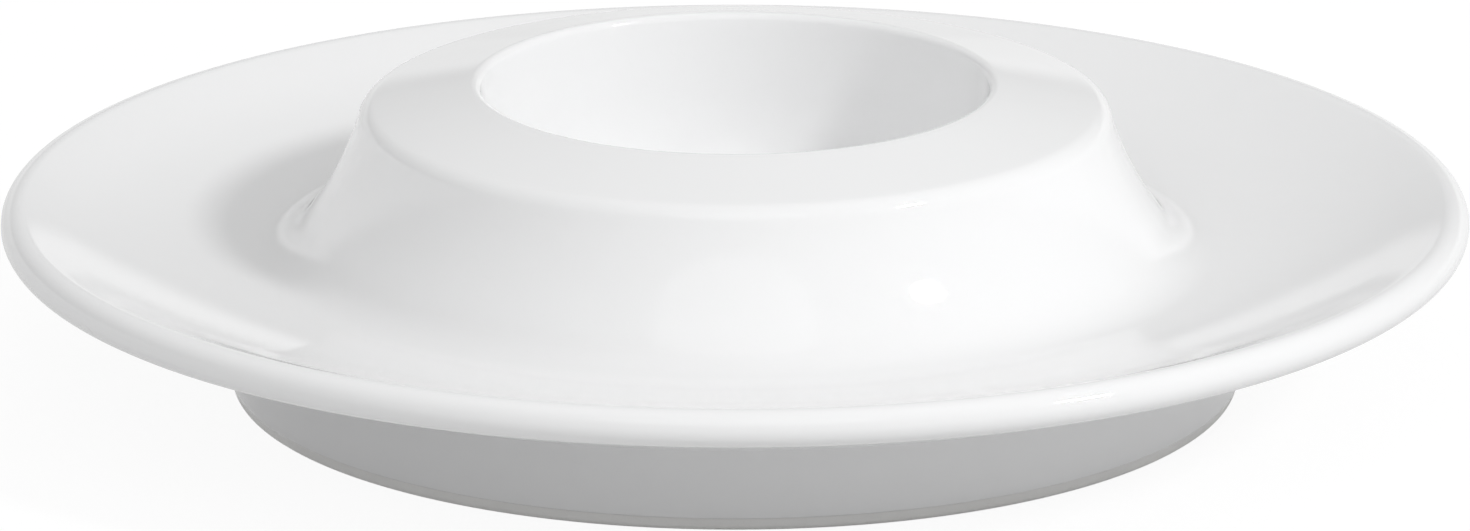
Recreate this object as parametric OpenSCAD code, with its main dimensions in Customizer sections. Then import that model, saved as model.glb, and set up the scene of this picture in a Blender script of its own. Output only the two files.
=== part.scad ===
// Porcelain egg cup on a saucer, one glazed body of revolution about Z.
// Millimetres, +Z up, origin at the centre of the foot's standing face.

/* [Saucer] */
// Diameter over the rounded rim
saucer_d = 130; // [124:1:150]
// Thickness of the rounded rim
rim_t = 3.3; // [2.6:0.1:4.2]
// Height of the lowest line of the saucer, beside the cup
trough_h = 12.1; // [11:0.1:12.6]
// Radius of the curve that lifts the saucer out to its flange
trough_r = 46; // [34:1:60]
// Slope of the flange's upper side, in degrees
flange_slope = 21.5; // [18:0.5:26]
// Slope of the flange's underside, in degrees
under_slope = 19.5; // [17:0.5:22]
// Radius of the underside's curve towards the foot
under_r = 30; // [20:1:34]
// Thickness of the saucer over the foot
saucer_t = 2.8; // [2.4:0.1:3.6]

/* [Cup] */
// Height of the mouth's lip above the table
cup_h = 27.3; // [26:0.1:30]
// Diameter over the shoulder, where the cup's wall begins
shoulder_d = 66.6; // [60:0.2:72]
// Width of the broad collar, from the mouth's edge to the shoulder
collar_w = 10.8; // [9.6:0.1:12]
// Fall of the broad collar from lip to shoulder, in degrees
collar_slope = 12; // [8:0.5:15]
// Lean of the cup's outer wall from upright at the shoulder, in degrees
cup_lean = 16.5; // [12:0.5:19]
// Lean of the cup's outer wall from upright at its lower end, in degrees
cup_foot_lean = 34; // [30:0.5:37]
// Radius of the hollow that the cup's outer wall flows in
cup_hollow_r = 31; // [27:1:34]
// Rounding of the shoulder
shoulder_r = 1.8; // [0.8:0.1:2.2]
// Sweep from the cup's wall into the saucer
cup_fillet_r = 5; // [3.5:0.5:6]
// Thickness of the cup's wall
cup_t = 3; // [2.4:0.1:3.5]
// Thickness of the collar
collar_t = 3; // [2.4:0.1:3.5]

/* [Egg well] */
// Rounding of the mouth's lip
lip_r = 0.7; // [0.5:0.1:1.2]
// Depth from the lip to the well's floor
well_depth = 20.5; // [19.5:0.1:21.5]
// Taper of the well's wall from upright, in degrees
well_draft = 3; // [1:0.5:6]
// Radius of the bowl between the well's wall and floor
well_r = 14; // [11:0.5:15.5]
// Thickness of the well
well_t = 3; // [2.4:0.1:3.4]

/* [Foot] */
// How far the foot ring stands outside the saucer's lowest line
foot_out = 2.5; // [1.8:0.1:4]
// Width of the foot ring at the table
foot_w = 3.2; // [2.6:0.1:4]
// Taper of both sides of the foot ring, in degrees
foot_draft = 4; // [1:0.5:6]
// Rounding of the standing face's two edges
foot_edge_r = 0.6; // [0.4:0.1:0.9]
// Sweep from the foot ring into the saucer's underside
foot_fillet_r = 1.5; // [1:0.1:2]

/* [Hollow underneath] */
// Bend of the underside where it turns up into the cup
bend_r = 2.2; // [1.5:0.1:3]
// Rounding at the top of the groove between cup wall and well
groove_r = 1.6; // [1:0.1:2]

/* [Glaze] */
// Thickness of the fired glaze
glaze_t = 0.25; // [0.15:0.05:0.35]
// Height of the bare band above the table, wiped free of glaze
bare_h = 1.2; // [1:0.1:2]

/* [Hidden] */
$fn = 180;
// Most that a flat facet may stray from its curve
curve_tol = 0.02;
biscuit_colour = [0.90, 0.89, 0.86];
glaze_colour = [0.97, 0.97, 0.96];
// Directions that a flat side can face
outwards = 0;
up = 90;
down = -90;

// A flat side of the section is [direction its surface faces, distance from the origin along it].
function facing(angle) = [cos(angle), sin(angle)];
function side_through(angle, point) = [angle, facing(angle) * point];
function back_of(side, thickness) = [side[0] - 180, thickness - side[1]];
function where_sides_meet(a, b) =
    [a[1] * sin(b[0]) - b[1] * sin(a[0]), b[1] * cos(a[0]) - a[1] * cos(b[0])] / sin(b[0] - a[0]);
function at_height(side, h, depth) = [(side[1] - depth - sin(side[0]) * h) / cos(side[0]), h];

// A curve is [centre, radius, first facing, last facing]: a rounding has a radius above zero, and a
// sweep, whose centre lies in the air, has one below zero.
function corner(a, b, radius) =
    [where_sides_meet([a[0], a[1] - radius], [b[0], b[1] - radius]), radius, a[0], b[0]];
function side_on(curve, angle) = side_through(angle, curve[0] + curve[1] * facing(angle));
function facets(curve) =
    ceil(abs(curve[3] - curve[2]) / (2 * acos(1 - curve_tol / abs(curve[1]))));
function points(curve, depth) = [
    for (i = [0:facets(curve)])
        curve[0] + (curve[1] - depth) * facing(curve[2] + (curve[3] - curve[2]) * i / facets(curve))
];
function last(list) = list[len(list) - 1];
function reversed(list) = [for (i = [len(list) - 1:-1:0]) list[i]];
function chain(curves, depth) = [for (curve = curves) each points(curve, depth)];

// Egg well, collar and cup wall, from the axis outwards. The mouth, where a hen's egg seats,
// follows the shoulder.
mouth_d = shoulder_d - 2 * collar_w;
lip_centre = [mouth_d / 2 + lip_r * cos(well_draft), cup_h - lip_r];
well_floor = [up, cup_h - well_depth];
lip_inside = [lip_centre, lip_r, 2 * up - well_draft, up];
lip_outside = [lip_centre, lip_r, up, up - collar_slope];
well_side = side_on(lip_inside, 2 * up - well_draft);
collar_top = side_on(lip_outside, up - collar_slope);
shoulder_x = shoulder_d / 2 - shoulder_r * cos(cup_lean);
shoulder_z = (collar_top[1] - shoulder_r - shoulder_x * cos(collar_top[0])) / sin(collar_top[0]);
shoulder = [[shoulder_x, shoulder_z], shoulder_r, up - collar_slope, cup_lean];
wall_centre = shoulder[0] + (shoulder_r + cup_hollow_r) * facing(cup_lean);
sweep_h = trough_h + cup_fillet_r;
wall_turn = min(cup_foot_lean, asin((wall_centre.y - sweep_h) / (cup_hollow_r - cup_fillet_r)));
wall = [wall_centre, -cup_hollow_r, cup_lean, wall_turn];

// Saucer: the sweep at the cup's foot, the trough and the rounded rim. The trough's curve leaves
// a flat flange at least as wide as the rim is thick.
trough_floor = [up, trough_h];
cup_fillet = corner(side_on(wall, wall_turn), trough_floor, -cup_fillet_r);
rim_r = rim_t / 2;
rim_x = saucer_d / 2 - rim_r;
trough_x = cup_fillet[0].x;
lift_r = min(trough_r, (rim_x - trough_x - rim_t) / sin(flange_slope));
trough = [[trough_x, trough_h + lift_r], -lift_r, up, up + flange_slope];
flange_top = side_on(trough, up + flange_slope);
rim_z = (flange_top[1] - rim_r - rim_x * cos(flange_top[0])) / sin(flange_top[0]);
rim_over = [[rim_x, rim_z], rim_r, up + flange_slope, outwards];
rim_below = [[rim_x, rim_z], rim_r, outwards, under_slope + down];

// Underside of the flange, met by the outer side of the foot ring.
flange_under = side_on(rim_below, under_slope + down);
ceiling = [down, saucer_t - trough_h];
under_bend = corner(flange_under, ceiling, under_r);
foot_d = 2 * (trough_x + foot_out);
foot_outside = side_through(-foot_draft, [foot_d / 2, 0]);
foot_reach = (foot_outside[1] + foot_fillet_r - facing(-foot_draft) * under_bend[0])
    / (under_r + foot_fillet_r);
foot_turn = -foot_draft - acos(foot_reach);
under = [under_bend[0], under_r, under_slope + down, foot_turn];
foot_fillet_centre = under_bend[0] + (under_r + foot_fillet_r) * facing(foot_turn);
foot_fillet = [foot_fillet_centre, -foot_fillet_r, foot_turn, -foot_draft];

// Foot ring. Its standing face is bare and lies on the table, a glaze's thickness inside the
// outline that the glaze would have there.
standing = [down, glaze_t];
foot_inside = side_through(foot_draft - 2 * up, [foot_d / 2 - foot_w, 0]);
foot_outer_edge = corner(foot_outside, standing, foot_edge_r + glaze_t);
foot_inner_edge = corner(standing, foot_inside, foot_edge_r + glaze_t);

// Hollow underneath: ceiling, groove behind the cup wall and the bowl's outer side.
inner_fillet = corner(foot_inside, ceiling, -foot_fillet_r);
cup_back = back_of(side_on(wall, cup_lean), cup_t);
cup_foot_back = back_of(side_on(wall, wall_turn), cup_t);
collar_back = back_of(collar_top, collar_t);
well_back = back_of(well_side, well_t);
bend_room = inner_fillet[0].x - where_sides_meet(ceiling, cup_foot_back).x;
bend_round_r = min(bend_r, bend_room / tan((up - wall_turn) / 2));
bend = corner(ceiling, cup_foot_back, bend_round_r);
groove_w = where_sides_meet(cup_back, collar_back).x - where_sides_meet(collar_back, well_back).x;
groove_round_r = min(groove_r, groove_w / 2);
back_r = cup_hollow_r + cup_t;
groove_reach = (collar_back[1] + groove_round_r - facing(collar_back[0]) * wall_centre)
    / (back_r + groove_round_r);
groove_turn = collar_back[0] - acos(groove_reach);
wall_back = [wall_centre, back_r, cup_foot_back[0], groove_turn];
groove_centre = wall_centre + (back_r + groove_round_r) * facing(groove_turn);
groove_outer = [groove_centre, -groove_round_r, groove_turn, collar_back[0]];
groove_inner = corner(collar_back, well_back, -groove_round_r);

// Level seams of the body, where the biscuit under the glaze is divided. The cup wall's own two
// seams run through it between the ends of its curves.
well_seam_h = last(points(groove_inner, glaze_t)).y;
foot_seam_h = min(last(points(foot_fillet, glaze_t)).y, points(inner_fillet, glaze_t)[0].y);

// Bowl of the well, inside and out. It starts no higher than the collar's seam.
well_floor_h = well_floor[1];
well_base_h = well_floor_h - well_t;
bowl_r = min(well_r, well_seam_h - well_floor_h);
bowl = corner(well_floor, well_side, -bowl_r);
bowl_back = [bowl[0], bowl_r + well_t, -well_draft, down];

module turned(outline) {
    rotate_extrude() polygon(outline);
}

// Ring that the object stands on, its standing face ground bare.
module foot_ring() {
    color(biscuit_colour) turned(concat(
        [at_height(foot_outside, foot_seam_h, glaze_t)],
        points(foot_outer_edge, glaze_t),
        points(foot_inner_edge, glaze_t),
        [at_height(foot_inside, foot_seam_h, glaze_t)]
    ));
}

// Dish round the cup, from the sweep at the cup's foot to the rim.
module saucer() {
    color(biscuit_colour) turned(concat(
        [last(points(wall, glaze_t))],
        chain([cup_fillet, trough], glaze_t),
        [points(rim_over, glaze_t)[0], last(points(rim_below, glaze_t))],
        chain([under, foot_fillet], glaze_t),
        [at_height(foot_outside, foot_seam_h, glaze_t)],
        [at_height(foot_inside, foot_seam_h, glaze_t)],
        chain([inner_fillet, bend], glaze_t),
        [points(wall_back, glaze_t)[0]]
    ));
}

// Bead that closes the saucer's edge.
module rolled_rim() {
    color(biscuit_colour) turned(chain([rim_over, rim_below], glaze_t));
}

// Flowing wall that carries the collar above the saucer.
module cup_wall() {
    color(biscuit_colour) turned(chain([wall, wall_back], glaze_t));
}

// Broad sloping ring between the mouth's lip and the shoulder.
module collar() {
    color(biscuit_colour) turned(concat(
        [at_height(well_side, well_seam_h, glaze_t)],
        chain([lip_inside, lip_outside, shoulder, groove_outer, groove_inner], glaze_t)
    ));
}

// Bowl that holds the egg, hung inside the collar.
module egg_well() {
    color(biscuit_colour) turned(concat(
        [[0, well_floor_h - glaze_t]],
        points(bowl, glaze_t),
        [at_height(well_side, well_seam_h, glaze_t)],
        [at_height(well_back, well_seam_h, glaze_t)],
        points(bowl_back, glaze_t),
        [[0, well_base_h + glaze_t]]
    ));
}

// Glaze of the well, the top, the rim, the underside and the foot's outer side.
module outer_glaze() {
    coated = [
        bowl, lip_inside, lip_outside, shoulder, wall, cup_fillet,
        trough, rim_over, rim_below, under, foot_fillet
    ];
    color(glaze_colour) turned(concat(
        [[0, well_floor_h]],
        chain(coated, 0),
        [at_height(foot_outside, bare_h, 0)],
        [at_height(foot_outside, bare_h, glaze_t)],
        reversed(chain(coated, glaze_t)),
        [[0, well_floor_h - glaze_t]]
    ));
}

// Glaze of the foot's inner side and the hollow underneath.
module inner_glaze() {
    coated = [inner_fillet, bend, wall_back, groove_outer, groove_inner, bowl_back];
    color(glaze_colour) turned(concat(
        [at_height(foot_inside, bare_h, 0)],
        chain(coated, 0),
        [[0, well_base_h]],
        [[0, well_base_h + glaze_t]],
        reversed(chain(coated, glaze_t)),
        [at_height(foot_inside, bare_h, glaze_t)]
    ));
}

foot_ring();
saucer();
rolled_rim();
cup_wall();
collar();
egg_well();
outer_glaze();
inner_glaze();
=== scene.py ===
import math

import bpy
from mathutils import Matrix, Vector


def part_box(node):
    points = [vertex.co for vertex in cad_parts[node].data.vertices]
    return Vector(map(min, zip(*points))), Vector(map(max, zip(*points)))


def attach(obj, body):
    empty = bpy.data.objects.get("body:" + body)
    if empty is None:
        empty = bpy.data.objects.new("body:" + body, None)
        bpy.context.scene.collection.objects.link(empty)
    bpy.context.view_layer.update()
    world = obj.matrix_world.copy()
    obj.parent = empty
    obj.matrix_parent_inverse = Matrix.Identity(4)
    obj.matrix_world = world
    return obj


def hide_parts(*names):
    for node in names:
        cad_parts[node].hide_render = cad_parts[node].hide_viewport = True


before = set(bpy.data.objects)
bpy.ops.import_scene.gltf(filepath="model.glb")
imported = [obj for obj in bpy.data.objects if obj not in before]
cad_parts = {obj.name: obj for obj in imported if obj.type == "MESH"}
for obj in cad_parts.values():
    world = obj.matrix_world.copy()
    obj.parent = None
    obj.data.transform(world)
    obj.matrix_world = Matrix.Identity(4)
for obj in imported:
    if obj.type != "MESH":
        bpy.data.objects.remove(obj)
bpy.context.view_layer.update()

millimetres = 1000

# Cup: egg well, collar and outer wall, the middle of the fired porcelain body. It is pressed in
# one with the saucer, turned true and fired, and the glaze hides it. Millimetres and degrees.
cup_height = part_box("outer_glaze")[1][2] * millimetres
shoulder_across = 66.6
collar_width = 10.8
collar_slope = 12
collar_thickness = 3
wall_lean = 16.5
wall_foot_lean = 34
wall_hollow = 31
wall_thickness = 3
shoulder_rounding = 1.8
lip_rounding = 0.7
well_depth = 20.5
well_taper = 3
well_thickness = 3
bowl_radius = 14
groove_rounding = 1.6
biscuit_colour = (0.94, 0.935, 0.92, 1)
biscuit_shade = (0.88, 0.87, 0.85, 1)


# A flat side of the turned outline is (direction it faces, distance from the origin along it),
# and a curve is (centre, radius, first direction, last direction), hollow if its radius is negative.
def facing(angle):
    return Vector((math.cos(math.radians(angle)), math.sin(math.radians(angle))))


def side_through(angle, point):
    return angle, facing(angle).dot(point)


def back_of(side, thickness):
    return side[0] - 180, thickness - side[1]


def where_sides_meet(a, b):
    n, m = facing(a[0]), facing(b[0])
    return Vector((a[1] * m.y - b[1] * n.y, b[1] * n.x - a[1] * m.x)) / (n.x * m.y - m.x * n.y)


def corner(a, b, radius):
    return where_sides_meet((a[0], a[1] - radius), (b[0], b[1] - radius)), radius, a[0], b[0]


def side_on(curve, angle):
    return side_through(angle, curve[0] + curve[1] * facing(angle))


def at_height(side, height, depth=0):
    n = facing(side[0])
    return Vector(((side[1] - depth - n.y * height) / n.x, height))


mouth_across = shoulder_across - 2 * collar_width
lip_x = mouth_across / 2 + lip_rounding * facing(well_taper).x
lip = (Vector((lip_x, cup_height - lip_rounding)), lip_rounding, 180 - well_taper, 90 - collar_slope)
well_side = side_on(lip, 180 - well_taper)
well_floor = (90, cup_height - well_depth)
bowl = corner(well_floor, well_side, -bowl_radius)
collar_top = side_on(lip, 90 - collar_slope)
shoulder_x = shoulder_across / 2 - shoulder_rounding * facing(wall_lean).x
n = facing(collar_top[0])
shoulder_z = (collar_top[1] - shoulder_rounding - shoulder_x * n.x) / n.y
shoulder_centre = Vector((shoulder_x, shoulder_z))
shoulder = (shoulder_centre, shoulder_rounding, 90 - collar_slope, wall_lean)
wall_centre = shoulder_centre + (shoulder_rounding + wall_hollow) * facing(wall_lean)
wall = (wall_centre, -wall_hollow, wall_lean, wall_foot_lean)
collar_back = back_of(collar_top, collar_thickness)
well_back = back_of(well_side, well_thickness)
back_radius = wall_hollow + wall_thickness
reach = collar_back[1] + groove_rounding - facing(collar_back[0]).dot(wall_centre)
turn = collar_back[0] - math.degrees(math.acos(reach / (back_radius + groove_rounding)))
wall_back = (wall_centre, back_radius, wall_foot_lean - 180, turn)
groove_centre = wall_centre + (back_radius + groove_rounding) * facing(turn)
groove_outer = (groove_centre, -groove_rounding, turn, collar_back[0])
groove_inner = corner(collar_back, well_back, -groove_rounding)
bowl_back = (bowl[0], bowl_radius + well_thickness, -well_taper, -90)


def socket(tree, kind, name, value, way="INPUT"):
    made = tree.interface.new_socket(name=name, in_out=way, socket_type=kind)
    if value is not None:
        made.default_value = value
    return made


def add(tree, kind, **settings):
    node = tree.nodes.new(kind)
    inputs = settings.pop("inputs", {})
    for name, value in settings.items():
        setattr(node, name, value)
    for name, value in inputs.items():
        if isinstance(value, bpy.types.NodeSocket):
            tree.links.new(value, node.inputs[name])
        else:
            node.inputs[name].default_value = value
    return node


# Fired surface: slow drift of the colour, fine specks, and a surface that undulates. Porcelain
# and glaze share it, each with its own sizes.
drift_edges = (0.35, 0.65)
drift_amount = 0.25
gloss_edges = (0.3, 0.7)
speck_edges = (0.60, 0.72)
wave_height = 0.0002
grain_height = 0.00002
fired = bpy.data.node_groups.new("fired surface", "ShaderNodeTree")
socket(fired, "NodeSocketColor", "Colour", (0.8, 0.8, 0.8, 1))
socket(fired, "NodeSocketColor", "Shade", (0.7, 0.7, 0.7, 1))
for name, value in (
    ("Drift scale", 30), ("Speck scale", 4000), ("Speck amount", 0.3), ("Ripple scale", 500),
    ("Ripple strength", 0.1), ("Grain strength", 0.1), ("Smoothest", 0.1), ("Roughest", 0.2),
):
    socket(fired, "NodeSocketFloat", name, value)
socket(fired, "NodeSocketColor", "Colour", None, "OUTPUT")
socket(fired, "NodeSocketFloat", "Roughness", None, "OUTPUT")
socket(fired, "NodeSocketVector", "Normal", None, "OUTPUT")
given = add(fired, "NodeGroupInput").outputs
place = add(fired, "ShaderNodeTexCoord").outputs["Object"]
drift = add(fired, "ShaderNodeTexNoise", inputs={
    "Vector": place, "Scale": given["Drift scale"], "Detail": 3, "Roughness": 0.5,
})
specks = add(fired, "ShaderNodeTexNoise", inputs={
    "Vector": place, "Scale": given["Speck scale"], "Detail": 2, "Roughness": 0.6,
})
ripple = add(fired, "ShaderNodeTexNoise", inputs={
    "Vector": place, "Scale": given["Ripple scale"], "Detail": 1, "Roughness": 0.4,
})
drift_mask = add(fired, "ShaderNodeMapRange", inputs={
    "Value": drift.outputs["Fac"], "From Min": drift_edges[0], "From Max": drift_edges[1],
})
speck_mask = add(fired, "ShaderNodeMapRange", inputs={
    "Value": specks.outputs["Fac"], "From Min": speck_edges[0], "From Max": speck_edges[1],
})
speck_share = add(fired, "ShaderNodeMath", operation="MULTIPLY", inputs={
    0: speck_mask.outputs["Result"], 1: given["Speck amount"],
})
drift_share = add(fired, "ShaderNodeMath", operation="MULTIPLY", inputs={
    0: drift_mask.outputs["Result"], 1: drift_amount,
})
shade_share = add(fired, "ShaderNodeMath", operation="ADD", use_clamp=True, inputs={
    0: speck_share.outputs[0], 1: drift_share.outputs[0],
})
colour = add(fired, "ShaderNodeMix", data_type="RGBA", inputs={
    "Factor": shade_share.outputs[0], "A": (1, 1, 1, 1), "B": (1, 1, 1, 1),
})
fired.links.new(given["Colour"], colour.inputs[6])
fired.links.new(given["Shade"], colour.inputs[7])
roughness = add(fired, "ShaderNodeMapRange", inputs={
    "Value": drift.outputs["Fac"], "From Min": gloss_edges[0], "From Max": gloss_edges[1],
    "To Min": given["Smoothest"], "To Max": given["Roughest"],
})
waves = add(fired, "ShaderNodeBump", inputs={
    "Strength": given["Ripple strength"], "Distance": wave_height, "Height": ripple.outputs["Fac"],
})
grain = add(fired, "ShaderNodeBump", inputs={
    "Strength": given["Grain strength"], "Distance": grain_height,
    "Height": specks.outputs["Fac"], "Normal": waves.outputs["Normal"],
})
add(fired, "NodeGroupOutput", inputs={
    "Colour": colour.outputs[2], "Roughness": roughness.outputs["Result"],
    "Normal": grain.outputs["Normal"],
})


def fired_material(name, shader, surface):
    material = bpy.data.materials.new(name)
    material.use_nodes = True
    tree = material.node_tree
    group = add(tree, "ShaderNodeGroup", node_tree=fired, inputs=surface)
    principled = tree.nodes["Principled BSDF"]
    for key, value in shader.items():
        principled.inputs[key].default_value = value
    tree.links.new(group.outputs["Colour"], principled.inputs["Base Color"])
    tree.links.new(group.outputs["Roughness"], principled.inputs["Roughness"])
    tree.links.new(group.outputs["Normal"], principled.inputs["Normal"])
    return material


biscuit = fired_material("fired porcelain", {"IOR": 1.5, "Specular IOR Level": 0.5}, {
    "Colour": biscuit_colour, "Shade": biscuit_shade, "Drift scale": 60, "Speck scale": 5000,
    "Speck amount": 0.5, "Ripple scale": 900, "Ripple strength": 0.15, "Grain strength": 0.6,
    "Smoothest": 0.3, "Roughest": 0.45,
})
for node in ("egg_well", "collar", "cup_wall"):
    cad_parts[node].data.materials.clear()
    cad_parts[node].data.materials.append(biscuit)

# Saucer and rolled rim: the dish pressed in one with the cup. The sweep at the cup's foot runs
# into the trough, the trough into a flat flange, and a bead closes the edge.
trough_height = 12.1
trough_radius = 46
flange_slope = 21.5
under_slope = 19.5
under_radius = 30
rim_thickness = 3.3
saucer_thickness = 2.8
sweep_radius = 5
bend_radius = 2.2
sweep = corner(side_on(wall, wall_foot_lean), (90, trough_height), -sweep_radius)
trough_centre = Vector((sweep[0].x, trough_height + trough_radius))
trough = (trough_centre, -trough_radius, 90, 90 + flange_slope)
flange_top = side_on(trough, 90 + flange_slope)
rim_radius = rim_thickness / 2
rim_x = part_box("outer_glaze")[1][0] * millimetres - rim_radius
n = facing(flange_top[0])
rim_z = (flange_top[1] - rim_radius - rim_x * n.x) / n.y
rim = (Vector((rim_x, rim_z)), rim_radius, 90 + flange_slope, under_slope - 90)
ceiling = (-90, saucer_thickness - trough_height)
under_bend = corner(side_on(rim, under_slope - 90), ceiling, under_radius)
bend = corner(ceiling, side_on(wall_back, wall_foot_lean - 180), bend_radius)
for node in ("saucer", "rolled_rim"):
    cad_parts[node].data.materials.clear()
    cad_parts[node].data.materials.append(biscuit)

# Foot ring: the ring that the cup stands on. Its standing face is ground flat and left bare, so
# that it doesn't stick to the kiln shelf, and the glaze ends just above it.
foot_overhang = 2.5
foot_width = 3.2
foot_taper = 4
foot_edge = 0.6
foot_fillet = 1.5
glaze_thickness = 0.25
bare_height = 1.2
foot_step = 0.4
edge_turn = 15
steps_round = 288
foot_radius = sweep[0].x + foot_overhang
foot_outside = side_through(-foot_taper, Vector((foot_radius, 0)))
foot_inside = side_through(foot_taper - 180, Vector((foot_radius - foot_width, 0)))
reach = foot_outside[1] + foot_fillet - facing(-foot_taper).dot(under_bend[0])
turn = -foot_taper - math.degrees(math.acos(reach / (under_radius + foot_fillet)))
under = (under_bend[0], under_radius, under_slope - 90, turn)
fillet_centre = under_bend[0] + (under_radius + foot_fillet) * facing(turn)
outer_fillet = (fillet_centre, -foot_fillet, turn, -foot_taper)
inner_fillet = corner(foot_inside, ceiling, -foot_fillet)
standing = (-90, glaze_thickness)
outer_edge = corner(foot_outside, standing, foot_edge + glaze_thickness)
inner_edge = corner(standing, foot_inside, foot_edge + glaze_thickness)


# Points along an outline of curves, joined by straight runs, with a point at least every step
# and, on a curve, at least every turn of so many degrees.
def outline(pieces, depth, step, turn):
    points = []
    for piece in pieces:
        if isinstance(piece, Vector):
            run = [piece]
        else:
            centre, radius, first, last = piece
            swept = abs(last - first)
            count = math.ceil(max(swept / turn, math.radians(swept) * abs(radius) / step))
            run = [
                centre + (radius - depth) * facing(first + (last - first) * i / count)
                for i in range(count + 1)
            ]
        if points:
            gap = run[0] - points[-1]
            count = math.ceil(gap.length / step)
            points += [points[-1] + gap * i / count for i in range(1, count)]
            if gap.length < step / 100:
                run = run[1:]
        points += run
    return points


# Turns an outline round the upright axis, smooth, closed, and dressed in one finish.
turning = bpy.data.node_groups.new("turned outline", "GeometryNodeTree")
turning.is_modifier = True
seam_gap = 1e-6
socket(turning, "NodeSocketGeometry", "Outline", None)
socket(turning, "NodeSocketInt", "Steps round", steps_round)
socket(turning, "NodeSocketMaterial", "Finish", None)
socket(turning, "NodeSocketGeometry", "Turned", None, "OUTPUT")
given = add(turning, "NodeGroupInput").outputs


def sum_up(operation, a, b=0.0):
    return add(turning, "ShaderNodeMath", operation=operation, inputs={0: a, 1: b}).outputs[0]


size = add(turning, "GeometryNodeAttributeDomainSize", component="MESH", inputs={
    "Geometry": given["Outline"],
})
along = size.outputs["Point Count"]
round_count = sum_up("ADD", given["Steps round"], 1)
grid = add(turning, "GeometryNodeMeshGrid", inputs={
    "Size X": 1, "Size Y": 1, "Vertices X": along, "Vertices Y": round_count,
})
spot = add(turning, "ShaderNodeSeparateXYZ", inputs={
    0: add(turning, "GeometryNodeInputPosition").outputs[0],
})
along_share = sum_up("ADD", spot.outputs["X"], 0.5)
which = sum_up("ROUND", sum_up("MULTIPLY", along_share, sum_up("SUBTRACT", along, 1)))
angle = sum_up("MULTIPLY", sum_up("ADD", spot.outputs["Y"], 0.5), 2 * math.pi)
point = add(turning, "GeometryNodeSampleIndex", data_type="FLOAT_VECTOR", inputs={
    "Geometry": given["Outline"], "Index": which,
})
turning.links.new(add(turning, "GeometryNodeInputPosition").outputs[0], point.inputs["Value"])
profile = add(turning, "ShaderNodeSeparateXYZ", inputs={0: point.outputs["Value"]})
radius = profile.outputs["X"]
turned_place = add(turning, "ShaderNodeCombineXYZ", inputs={
    "X": sum_up("MULTIPLY", radius, sum_up("COSINE", angle)),
    "Y": sum_up("MULTIPLY", radius, sum_up("SINE", angle)),
    "Z": profile.outputs["Z"],
})
moved = add(turning, "GeometryNodeSetPosition", inputs={
    "Geometry": grid.outputs["Mesh"], "Position": turned_place.outputs[0],
})
closed = add(turning, "GeometryNodeMergeByDistance", inputs={
    "Geometry": moved.outputs["Geometry"], "Distance": seam_gap,
})
smooth = add(turning, "GeometryNodeSetShadeSmooth", inputs={"Geometry": closed.outputs["Geometry"]})
real = add(turning, "GeometryNodeRealizeInstances", inputs={"Geometry": smooth.outputs["Geometry"]})
dressed = add(turning, "GeometryNodeSetMaterial", inputs={
    "Geometry": real.outputs["Geometry"], "Material": given["Finish"],
})
add(turning, "NodeGroupOutput", inputs={"Turned": dressed.outputs["Geometry"]})


def turned(name, points, finish):
    wire = bpy.data.meshes.new(name + "_outline")
    edges = [(i, i + 1) for i in range(len(points) - 1)]
    wire.from_pydata([(p.x / millimetres, 0, p.y / millimetres) for p in points], edges, [])
    piece = bpy.data.objects.new(name, wire)
    bpy.context.scene.collection.objects.link(piece)
    modifier = piece.modifiers.new("turned", "NODES")
    modifier.node_group = turning
    sockets = {s.name: s.identifier for s in turning.interface.items_tree if s.in_out == "INPUT"}
    modifier[sockets["Steps round"]] = steps_round
    modifier[sockets["Finish"]] = finish
    seen = bpy.context.evaluated_depsgraph_get()
    solid = bpy.data.meshes.new_from_object(piece.evaluated_get(seen))
    piece.modifiers.clear()
    piece.data = solid
    solid.name = name
    return piece


foot_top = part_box("foot_ring")[1][2] * millimetres
inside_top = at_height(foot_inside, foot_top, glaze_thickness)
outside_top = at_height(foot_outside, foot_top, glaze_thickness)
foot_points = outline(
    [inside_top, outside_top, outer_edge, inner_edge, inside_top],
    glaze_thickness, foot_step, edge_turn)
foot_ring = turned("bare_foot_ring", foot_points[::-1], biscuit)
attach(foot_ring, "root")
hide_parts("foot_ring")

# Outer glaze: clear white glaze fused over the well, the cup, the saucer, the rim, the underside
# and the foot's outer side. It is dipped on, melts to a gloss, and ends in a thin rolled line.
glaze_colour = (0.945, 0.947, 0.95, 1)
glaze_shade = (0.91, 0.912, 0.916, 1)
glaze = fired_material("white glaze", {"IOR": 1.52}, {
    "Colour": glaze_colour, "Shade": glaze_shade, "Drift scale": 25, "Speck scale": 5200,
    "Speck amount": 0.35, "Ripple scale": 330, "Ripple strength": 0.03, "Grain strength": 0.12,
    "Smoothest": 0.025, "Roughest": 0.05,
})
fine_step = 0.65
fine_turn = 7.5
coarse_step = 2.5
coarse_turn = 22.5
bead_step = 0.1
coated = [bowl, lip, shoulder, wall, sweep, trough, rim, under, outer_fillet]
glaze_end = bare_height + glaze_thickness / 2
front = outline(
    [Vector((0, well_floor[1]))] + coated + [at_height(foot_outside, glaze_end)],
    0, fine_step, fine_turn)
back = outline(
    [Vector((0, well_floor[1] - glaze_thickness))] + coated
    + [at_height(foot_outside, glaze_end, glaze_thickness)],
    glaze_thickness, coarse_step, coarse_turn)
bead_centre = (front[-1] + back[-1]) / 2
bead = outline(
    [(bead_centre, glaze_thickness / 2, -foot_taper, -foot_taper - 180)],
    0, bead_step, coarse_turn)
outer_glaze = turned("glaze_outside", front + bead[1:-1] + back[::-1], glaze)
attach(outer_glaze, "root")
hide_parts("outer_glaze")

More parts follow.
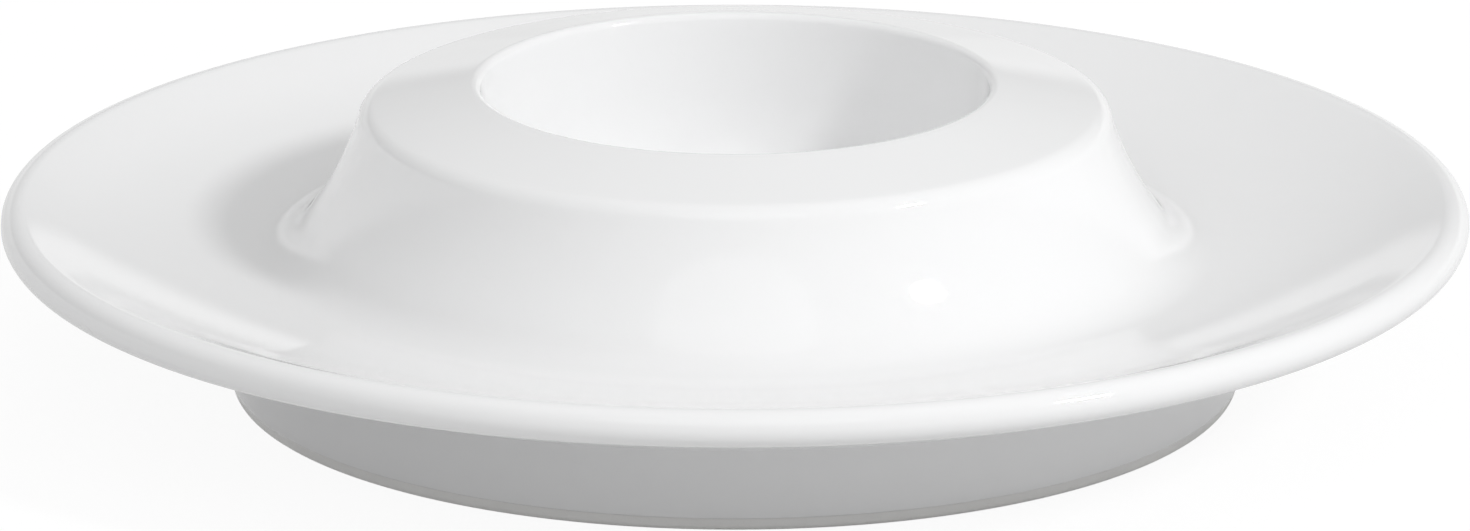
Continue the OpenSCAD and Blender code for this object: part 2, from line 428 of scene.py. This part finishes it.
# Inner glaze: the same glaze inside the foot ring, over the hollow underneath, the groove
# behind the cup's wall and the bowl's outer side.
hollow = [inner_fillet, bend, wall_back, groove_outer, groove_inner, bowl_back]
front = outline(
    [at_height(foot_inside, glaze_end)] + hollow
    + [Vector((0, well_floor[1] - well_thickness))],
    0, fine_step, fine_turn)
back = outline(
    [at_height(foot_inside, glaze_end, glaze_thickness)] + hollow
    + [Vector((0, well_floor[1] - well_thickness + glaze_thickness))],
    glaze_thickness, coarse_step, coarse_turn)
bead_centre = (front[0] + back[0]) / 2
bead = outline(
    [(bead_centre, glaze_thickness / 2, foot_taper, foot_taper - 180)],
    0, bead_step, coarse_turn)
inner_glaze = turned("glaze_underneath", back[::-1] + bead[1:-1] + front, glaze)
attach(inner_glaze, "root")
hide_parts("inner_glaze")

# Table: a plain white top. The camera sees it lifted to the white of the background, with the
# object's shadow kept, and the glaze mirrors it brighter than its paint is.
floor_half = 3.0
table_tone = 0.68
paper_strength = 1.08
lifted_to_camera = 0.85
lifted_in_glaze = 0.55
floor_mesh = bpy.data.meshes.new("table_top")
floor_mesh.from_pydata(
    [(-floor_half, -floor_half, 0), (floor_half, -floor_half, 0),
     (floor_half, floor_half, 0), (-floor_half, floor_half, 0)],
    [], [(0, 1, 2, 3)])
floor = bpy.data.objects.new("table_top", floor_mesh)
bpy.context.scene.collection.objects.link(floor)
table_paint = bpy.data.materials.new("table paint")
table_paint.use_nodes = True
tree = table_paint.node_tree
tree.nodes.remove(tree.nodes["Principled BSDF"])
paint = add(tree, "ShaderNodeBsdfDiffuse", inputs={
    "Color": (table_tone, table_tone, table_tone, 1),
})
paper = add(tree, "ShaderNodeEmission", inputs={
    "Color": (1, 1, 1, 1), "Strength": paper_strength,
})
rays = add(tree, "ShaderNodeLightPath").outputs
looked_at = add(tree, "ShaderNodeMath", operation="MULTIPLY", inputs={
    0: rays["Is Camera Ray"], 1: lifted_to_camera,
})
mirrored = add(tree, "ShaderNodeMath", operation="MULTIPLY", inputs={
    0: rays["Is Glossy Ray"], 1: lifted_in_glaze,
})
lifted = add(tree, "ShaderNodeMath", operation="ADD", inputs={
    0: looked_at.outputs[0], 1: mirrored.outputs[0],
})
blend = add(tree, "ShaderNodeMixShader", inputs={
    0: lifted.outputs[0], 1: paint.outputs[0], 2: paper.outputs[0],
})
tree.links.new(blend.outputs[0], tree.nodes["Material Output"].inputs["Surface"])
floor_mesh.materials.append(table_paint)

# Light: a white tent all round with a brighter low backdrop, which the glaze mirrors beside the
# cup, soft panels overhead and in front, a lamp on the right, which throws the shadow on the left,
# and beside it a small one that only the glaze mirrors, which gives the round highlights.
world = bpy.data.worlds.new("studio")
bpy.context.scene.world = world
world.use_nodes = True
tree = world.node_tree
tent_strength = 0.612
mirrored_strength = 0.46
backdrop_strength = 0.85
backdrop_top = (0.12, 0.20)
rays = add(tree, "ShaderNodeLightPath").outputs
mirrored = add(tree, "ShaderNodeMath", operation="MAXIMUM", inputs={
    0: rays["Is Glossy Ray"], 1: rays["Is Transmission Ray"],
})
way_out = add(tree, "ShaderNodeTexCoord").outputs["Generated"]
upwards = add(tree, "ShaderNodeVectorMath", operation="DOT_PRODUCT", inputs={0: way_out, 1: (0, 0, 1)})
backdrop = add(tree, "ShaderNodeMapRange", interpolation_type="SMOOTHSTEP", inputs={
    "Value": upwards.outputs["Value"], "From Min": backdrop_top[0], "From Max": backdrop_top[1],
    "To Min": backdrop_strength, "To Max": mirrored_strength,
})
in_glaze = add(tree, "ShaderNodeMix", data_type="FLOAT", inputs={
    "Factor": mirrored.outputs[0], "A": tent_strength, "B": backdrop.outputs["Result"],
})
tent = add(tree, "ShaderNodeMix", data_type="FLOAT", inputs={
    "Factor": rays["Is Camera Ray"], "A": in_glaze.outputs[0], "B": 1.0,
})
sky = tree.nodes["Background"]
sky.inputs["Color"].default_value = (1, 1, 1, 1)
tree.links.new(tent.outputs[0], sky.inputs["Strength"])
lamp_distance = 1.2


def lamp(name, azimuth, elevation, width, height, watts, shines=True, mirrored=True):
    light = bpy.data.lights.new(name, "AREA")
    light.shape = "ELLIPSE"
    light.size = width
    light.size_y = height
    light.energy = watts
    holder = bpy.data.objects.new(name, light)
    bpy.context.scene.collection.objects.link(holder)
    a, e = math.radians(azimuth), math.radians(elevation)
    way = Vector((math.sin(a) * math.cos(e), -math.cos(a) * math.cos(e), math.sin(e)))
    holder.location = way * lamp_distance
    holder.rotation_euler = way.to_track_quat("Z", "Y").to_euler()
    holder.visible_diffuse = shines
    holder.visible_glossy = mirrored


lamp("top_panel", 0, 88, 1.0, 1.0, 0.3)
lamp("front_panel", 0, 45, 0.8, 0.8, 0.86)
lamp("right_panel", 55.5, 38, 0.19, 0.19, 5.15, mirrored=False)
lamp("right_glint", 59.8, 35.5, 0.15, 0.086, 4.85, shines=False)

# Camera: a metre away with a long lens, 16.5 degrees above the object's middle.
camera_distance = 1.0
camera_elevation = 16.5
camera_tilt = 16.694
aim_height = 0.014
lens = bpy.data.cameras.new("camera")
lens.sensor_width = 36
lens.lens = 288
camera = bpy.data.objects.new("camera", lens)
bpy.context.scene.collection.objects.link(camera)
camera_height = aim_height + camera_distance * math.tan(math.radians(camera_elevation))
camera.location = (0, -camera_distance, camera_height)
camera.rotation_euler = (math.radians(90 - camera_tilt), 0, 0)
bpy.context.scene.camera = camera
bpy.context.scene.view_settings.view_transform = "Standard"
